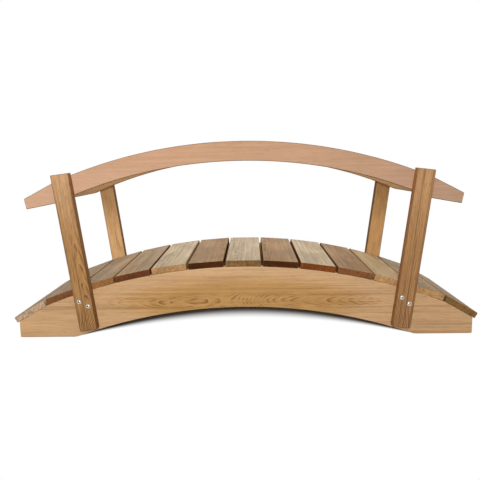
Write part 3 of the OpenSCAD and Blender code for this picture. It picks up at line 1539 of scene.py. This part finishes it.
@dataclass
class Screws:
    """Flush screws that hold the boards to the beams, and the handrails to the posts.

    Attributes:
        finish: Plating of the metal.
        deck: Boards to screw down.
        rails: Handrails to screw to the posts.
        posts: Posts that take the screws.
        head_d: Diameter of a head.
        proud: Height of a head over the wood.
        sunk: Depth of a head in the wood.
        recess_r: Mean radius of the recess.
        recess_h: Depth of the recess.
        lobe: Share of the recess's radius that its lobes add and take.
        bevel: Drop of a head's rim.
        board_spread: Distance of a screw from a board's middle line.
        post_spread: Distance of a screw from the middle of a handrail, along the post.
        around: Number of points round a head.
    """

    finish: Zinc
    deck: Deck
    rails: Sequence[Handrail]
    posts: Sequence[Post]
    head_d: float = 0.0055
    proud: float = 0.0003
    sunk: float = 0.0015
    recess_r: float = 0.0013
    recess_h: float = 0.00025
    lobe: float = 0.2
    bevel: float = 0.0002
    board_spread: float = 0.045
    post_spread: float = 0.017
    around: int = 36

    LOBES = 6
    AXIS_REACH = 0.5
    AXIS_POINTS = 501
    # Painted shade on each ring of a head, from the floor of its recess outwards: dark in the recess and
    # where the head goes into the wood.
    HEAD_SHADE = (1.0, 1.0, 0.3, 0.0, 0.6, 1.0, 1.0)

    def build(self) -> list[bpy.types.Object]:
        """Makes the screws.

        Returns:
            The deck's screws as one piece, and each handrail's as one.
        """
        material = self.finish.material()
        groups = {"deck_screws": self._deck_screws()}
        for rail in self.rails:
            groups[named(rail.side, "rail_screws")] = self._rail_screws(rail)
        return [
            settle(Skin.joined(skins).piece(name), material) for name, skins in groups.items()
        ]

    def _deck_screws(self) -> list[Skin]:
        """Heads on top of the boards, two over each beam.

        Returns:
            One skin for each head.
        """
        rows = [sum(box_of(named(side, "beam")))[1] / 2 for side in Side]
        skins = []
        for number in range(1, len(self.deck.LOOKS) + 1):
            lie = self.deck.lie(number)
            top = lie.middle + self.deck.thickness / 2 * lie.through
            for row in rows:
                for spread in (-self.board_spread, self.board_spread):
                    skins.append(self._head(top + row * Y_AXIS + spread * lie.across, -lie.through))
        return skins

    def _rail_screws(self, rail: Handrail) -> list[Skin]:
        """Heads on the inner face of a handrail, two on the axis of each of its posts.

        Args:
            rail: The handrail.

        Returns:
            One skin for each head.
        """
        low, high = box_of(named(rail.side, "handrail"))
        inner = high[1] if rail.side is Side.NEAR else low[1]
        bow = Bow(high[2] - rail.depth / 2, rail.radius - rail.depth / 2)
        skins = []
        for post in self.posts:
            if post.side is not rail.side:
                continue
            lie = post.lie()
            reach = np.linspace(0.0, self.AXIS_REACH, self.AXIS_POINTS)
            line = lie.middle + reach[:, None] * lie.along
            crossing = line[np.argmin(np.abs(line[:, 2] - bow.height(line[:, 0])))]
            for spread in (-self.post_spread, self.post_spread):
                place = crossing + spread * lie.along
                place[1] = inner
                skins.append(self._head(place, rail.side.value * Y_AXIS))
        return skins

    def _head(self, place: np.ndarray, inward: np.ndarray) -> Skin:
        """One head: rings from the floor of its recess out over its rim and down into the wood.

        Args:
            place: Middle of the head on the face of the wood.
            inward: Direction into the wood.

        Returns:
            The head's skin.
        """
        angle = np.linspace(0.0, 2 * math.pi, self.around, endpoint=False)
        star = self.recess_r * (1.0 + self.lobe * np.cos(self.LOBES * angle))
        rim = np.full(self.around, self.head_d / 2)
        middle = np.zeros(self.around)
        bottom = self.proud + self.sunk
        depth = np.array([self.recess_h, self.recess_h, 0.0, 0.0, self.bevel, bottom, bottom])
        radius = np.stack([middle, star, star, rim - self.bevel, rim, rim, middle])
        smooth = np.zeros(len(depth) - 1, bool)
        return turned(place - self.proud * inward, inward, depth, radius, smooth, np.array(self.HEAD_SHADE))


@dataclass
class Camera:
    """Camera a little lower than the handrails' crown and right of mid-span, looking slightly down.

    Attributes:
        place: Where the lens is.
        yaw: Turn to the left, in radians.
        pitch: Downward tilt, in radians.
        roll: Turn about the line of sight, in radians.
        lens: Focal length, in millimetres on a 36 mm sensor.
    """

    place: tuple[float, float, float] = (0.03656, -2.47726, 0.72987)
    yaw: float = math.radians(1.26)
    pitch: float = math.radians(8.88)
    roll: float = math.radians(-0.94)
    lens: float = 41.78

    def build(self) -> None:
        """Makes the camera and looks through it."""
        data = bpy.data.cameras.new("camera")
        data.lens = self.lens
        camera = bpy.data.objects.new("camera", data)
        level = Matrix.Rotation(math.pi / 2 - self.pitch, 4, "X")
        turned_in = Matrix.Rotation(self.yaw, 4, "Z") @ level @ Matrix.Rotation(self.roll, 4, "Z")
        camera.matrix_world = Matrix.Translation(Vector(self.place)) @ turned_in
        bpy.context.scene.collection.objects.link(camera)
        bpy.context.scene.camera = camera


@dataclass(frozen=True)
class SoftBox:
    """Rectangular lamp that looks at the bridge.

    Attributes:
        name: Name of the lamp.
        place: Where it hangs.
        size: Width and height.
        power: Power, in watts.
    """

    name: str
    place: tuple[float, float, float]
    size: tuple[float, float]
    power: float

    AIM = (0.0, 0.0, 0.3)

    def build(self) -> None:
        """Hangs the lamp."""
        data = bpy.data.lights.new(self.name, "AREA")
        data.shape = "RECTANGLE"
        data.size, data.size_y = self.size
        data.energy = self.power
        lamp = bpy.data.objects.new(self.name, data)
        place = Vector(self.place)
        look = (Vector(self.AIM) - place).to_track_quat("-Z", "Y")
        lamp.matrix_world = Matrix.Translation(place) @ look.to_matrix().to_4x4()
        bpy.context.scene.collection.objects.link(lamp)


@dataclass
class Studio:
    """White floor and soft boxes round the bridge, and two black cards before it for the metal to mirror.

    Attributes:
        floor_half: Half the width of the floor.
        floor_drop: Gap between the feet and the floor.
        paper: Screen colour of the floor, which shows only in the shadow, darkened and warmed to set the
            shadow's depth and hue.
        clear: Distance behind the bridge at which the floor has faded into the background.
        end_clear: Distance over which it fades at the bridge's ends.
        half_length: Half the length of the floor that shows a shadow.
        half_width: Half the width of the bridge's plan.
        arch_half: Half the span of the arch under the near beam.
        arch_rise: Rise of that arch.
        lit_reach: Distance under the arch up to which the floor is painted as lit from the front, in heights
            of the arch.
        dark_reach: Distance under the arch at which that painted light ends, in heights of the arch.
        fill: Strength of the light from all round.
        card_side: Distance of each black card's middle from mid-span.
        card_half: Half the width of a black card.
        card_foot: Y and Z of a card's lower edge.
        card_top: Y and Z of its upper edge.
    """

    floor_half: float = 8.0
    floor_drop: float = 0.0002
    paper: str = "9e9584"
    clear: float = 0.08
    end_clear: float = 0.01
    half_length: float = 0.904
    half_width: float = 0.305
    arch_half: float = 0.6815
    arch_rise: float = 0.118
    lit_reach: float = 1.95
    dark_reach: float = 3.35
    fill: float = 0.2
    card_side: float = 0.95
    card_half: float = 0.55
    card_foot: tuple[float, float] = (-0.68, 0.02)
    card_top: tuple[float, float] = (-1.75, 0.95)

    BOXES = (
        SoftBox("key", (-0.05, -3.8, 1.25), (0.7, 1.4), 100.0),
        SoftBox("top", (0.1, -0.3, 3.2), (2.6, 1.8), 46.0),
        SoftBox("back", (0.3, 2.9, 3.2), (2.4, 1.6), 46.0),
    )
    CARD_BLACK = "080808"
    BACKDROP = "ffffff"
    LEAST_ARCH = 1e-4

    def build(self) -> None:
        """Makes the floor, the cards, the lamps and the white surroundings."""
        self._floor()
        self._cards()
        for box in self.BOXES:
            box.build()
        self._surroundings()
        bpy.context.scene.view_settings.view_transform = "Standard"

    def _floor(self) -> None:
        """Lays the paper, which fades into the background away from the bridge.

        The paper shows its rendered shade within the bridge's plan, behind a line that paints where light
        through the arch ends. That line lies a number of arch heights behind the near side, and the arch is
        taken as a parabola. In front of it the floor shows white, under the arch too, which paints light
        there.
        """
        half = self.floor_half
        corners = [(-half, -half), (half, -half), (half, half), (-half, half)]
        mesh = bpy.data.meshes.new("floor")
        mesh.from_pydata([(x, y, -self.floor_drop) for x, y in corners], [], [(0, 1, 2, 3)])
        floor = bpy.data.objects.new("floor", mesh)
        bpy.context.scene.collection.objects.link(floor)
        material = bpy.data.materials.new("studio paper")
        bench = Bench(material)
        offset = bench.offset(np.zeros(3))
        x = bench.along(offset, X_AXIS)
        y = bench.along(offset, Y_AXIS)
        past_end = (abs(x) - self.half_length).step(0.0, self.end_clear)
        past_side = (abs(y) - self.half_width).step(0.0, self.clear)
        arch = Bow.over(self.arch_half, self.arch_rise, self.arch_rise)
        arch_height = (arch.crown - x**2.0 / (2 * arch.radius)).at_least(self.LEAST_ARCH)
        # Painted bound of the shadow: the floor counts as lit up to a given number of arch heights behind the
        # near side.
        shaded = ((y + self.half_width) / arch_height).step(self.lit_reach, self.dark_reach)
        clear = past_end.at_least(past_side).at_least(1.0 - shaded)
        paper = bench.node("ShaderNodeBsdfDiffuse", {}, {"Color": srgb(self.paper)})
        white = bench.node("ShaderNodeEmission", {}, {"Strength": 1.0})
        faded = bench.seen() * clear
        inputs = {0: faded, 1: paper.outputs[0], 2: white.outputs[0]}
        shader = bench.node("ShaderNodeMixShader", {}, inputs)
        bench.node("ShaderNodeOutputMaterial", {}, {"Surface": shader.outputs[0]})
        mesh.materials.append(material)

    def _cards(self) -> None:
        """Leans the black cards in front of the posts' feet, where only a gloss shows them."""
        material = bpy.data.materials.new("black card")
        bench = Bench(material)
        black = bench.node("ShaderNodeBsdfDiffuse", {}, {"Color": srgb(self.CARD_BLACK)})
        bench.node("ShaderNodeOutputMaterial", {}, {"Surface": black.outputs[0]})
        for end in End:
            middle = end.value * self.card_side
            left, right = middle - self.card_half, middle + self.card_half
            corners = [
                (left, *self.card_foot),
                (right, *self.card_foot),
                (right, *self.card_top),
                (left, *self.card_top),
            ]
            mesh = bpy.data.meshes.new(named(end, "card"))
            mesh.from_pydata(corners, [], [(0, 1, 2, 3)])
            mesh.materials.append(material)
            card = bpy.data.objects.new(mesh.name, mesh)
            card.visible_camera = False
            card.visible_diffuse = False
            card.visible_shadow = False
            bpy.context.scene.collection.objects.link(card)

    def _surroundings(self) -> None:
        """Lights the bridge from all round, and shows white behind it."""
        world = bpy.data.worlds.new("studio")
        bpy.context.scene.world = world
        bench = Bench(world)
        strength = self.fill + (1.0 - self.fill) * bench.seen()
        light = bench.node("ShaderNodeBackground", {}, {"Color": srgb(self.BACKDROP), "Strength": strength})
        bench.node("ShaderNodeOutputWorld", {}, {"Surface": light.outputs[0]})


# The beams' edge colour is lighter than their wood, a painted highlight along their eased edges.
BEAM_TONE = Tone("bc9057", "80542a", "d2ab83", "a87b50", "d8b083")
RAIL_TONE = Tone("bd916c", "a77854", "cba58b", "946746", "5a3c25")
FAR_RAIL_TONE = Tone("c69a68", "a0713f", "c99e72", "946746", "7c5638")
# The left posts' tones are lighter than the right posts'. Between the near posts that is partly the wood's
# own and partly painted light from the left; between the far posts, cut alike, it is painted light from the
# left.
LEFT_POST_TONE = Tone("c4935c", "7a4f29", "d6aa80", "8d6136", "6e4b28")
RIGHT_POST_TONE = Tone("ae8153", "6c472a", "bb9066", "a26f42", "7c5632")
FAR_LEFT_POST_TONE = Tone("e1b37e", "a87843", "d9ae7c", "7a5630", "7a5630")
FAR_RIGHT_POST_TONE = Tone("c99a64", "966a38", "cfa26c", "70502c", "70502c")


def choose_beams() -> list[SideBeam]:
    """Chooses the wood of both beams.

    Returns:
        The near beam and the far one.
    """
    near = Cedar(
        BEAM_TONE,
        Cut(
            pith_across=0.0,
            pith_through=0.03,
            ring=0.003,
            taper=-0.07,
            sway=0.008,
            flame=0.045,
            knots=(Knot(along=-0.05, across=0.0, reach=0.05, stretch=2.0, bend=0.016),),
        ),
        blush_from=0.075,
        blush_to=0.13,
        blush_rise=0.22,
        painted_light_falloff=0.06,
        figure=0.55,
        lines=1.1,
        seed=3.0,
    )
    far = Cedar(
        BEAM_TONE,
        Cut(pith_across=0.01, pith_through=0.03, ring=0.003, taper=0.06, sway=0.008, flame=0.045),
        blush_from=0.065,
        blush_to=0.125,
        blush_rise=0.16,
        figure=0.45,
        seed=17.0,
    )
    return [SideBeam(Side.NEAR, near), SideBeam(Side.FAR, far)]


def choose_handrails() -> list[Handrail]:
    """Chooses the wood of both handrails.

    Returns:
        The near handrail and the far one.
    """
    near = Cedar(
        RAIL_TONE,
        Cut(pith_across=0.12, pith_through=0.16, ring=0.0018, sway=0.006),
        blush_from=0.12,
        blush_to=0.25,
        painted_light_falloff=0.2,
        figure=0.35,
        lines=0.4,
        seed=29.0,
    )
    far = Cedar(
        FAR_RAIL_TONE,
        Cut(pith_across=0.10, pith_through=0.14, ring=0.0018, sway=0.006),
        blush_from=0.16,
        blush_to=0.24,
        figure=0.5,
        lines=0.5,
        seed=83.0,
    )
    return [Handrail(Side.NEAR, near), Handrail(Side.FAR, far)]


def choose_posts() -> list[Post]:
    """Chooses the wood of the four posts.

    Returns:
        The near posts and then the far ones, each pair from the left.
    """
    left = Cedar(
        LEFT_POST_TONE,
        Cut(
            pith_across=0.014,
            pith_through=0.035,
            taper=0.03,
            flame=0.03,
            flares=(Flare(along=-0.37, across=-0.04, reach=0.19, step=0.12),),
            seams=(Seam(across=-0.002, half_width=0.004, top=0.06, share=0.7),),
        ),
        blush_from=0.06,
        blush_to=0.10,
        lines=1.1,
        foot_shade=0.34,
        narrow_tone_and_shade=True,
        seed=5.0,
    )
    right = Cedar(
        RIGHT_POST_TONE,
        Cut(
            pith_across=-0.06,
            pith_through=0.04,
            ring=0.003,
            flares=(Flare(along=-0.37, across=0.035, reach=0.19, step=0.12),),
            seams=(
                Seam(across=0.004, half_width=0.004, top=0.1, share=0.6),
                Seam(across=-0.012, half_width=0.003, top=0.02, share=0.5),
                Seam(across=0.027, half_width=0.005, top=0.4, share=0.5),
            ),
        ),
        blush_from=0.10,
        blush_to=0.14,
        lines=1.1,
        foot_shade=0.12,
        narrow_tone_and_shade=True,
        seed=41.0,
    )
    far_left = Cedar(
        FAR_LEFT_POST_TONE,
        Cut(pith_across=0.01, pith_through=0.05, ring=0.0022),
        blush_from=0.08,
        blush_to=0.12,
        figure=0.6,
        clouds=0.2,
        narrow_tone_and_shade=True,
        seed=61.0,
    )
    far_right = replace(far_left, tone=FAR_RIGHT_POST_TONE, seed=73.0)
    return [
        Post(Side.NEAR, End.LEFT, left),
        Post(Side.NEAR, End.RIGHT, right),
        Post(Side.FAR, End.LEFT, far_left),
        Post(Side.FAR, End.RIGHT, far_right),
    ]


def sub_assemblies() -> list[Union[SideBeam, Handrail, Post, Deck, Bolts, Screws]]:
    """Lists the bridge's sub-assemblies.

    Returns:
        The sub-assemblies, from the beams up, and the fasteners last.
    """
    deck = Deck()
    posts = choose_posts()
    rails = choose_handrails()
    screws = Screws(Zinc(bright="9c9a94", dull="76736c", roughness=0.34), deck, rails, posts)
    return [*choose_beams(), deck, *posts, *rails, Bolts(Zinc()), screws]


def main() -> None:
    """Builds and dresses the bridge, sets it in the studio and logs each piece's number of faces."""
    logging.basicConfig(level=logging.INFO, format="%(message)s")
    Camera().build()
    for assembly in sub_assemblies():
        for piece in assembly.build():
            LOG.info("%s: %d faces", piece.name, len(piece.data.polygons))
    Studio().build()


if __name__ == "__main__":
    main()
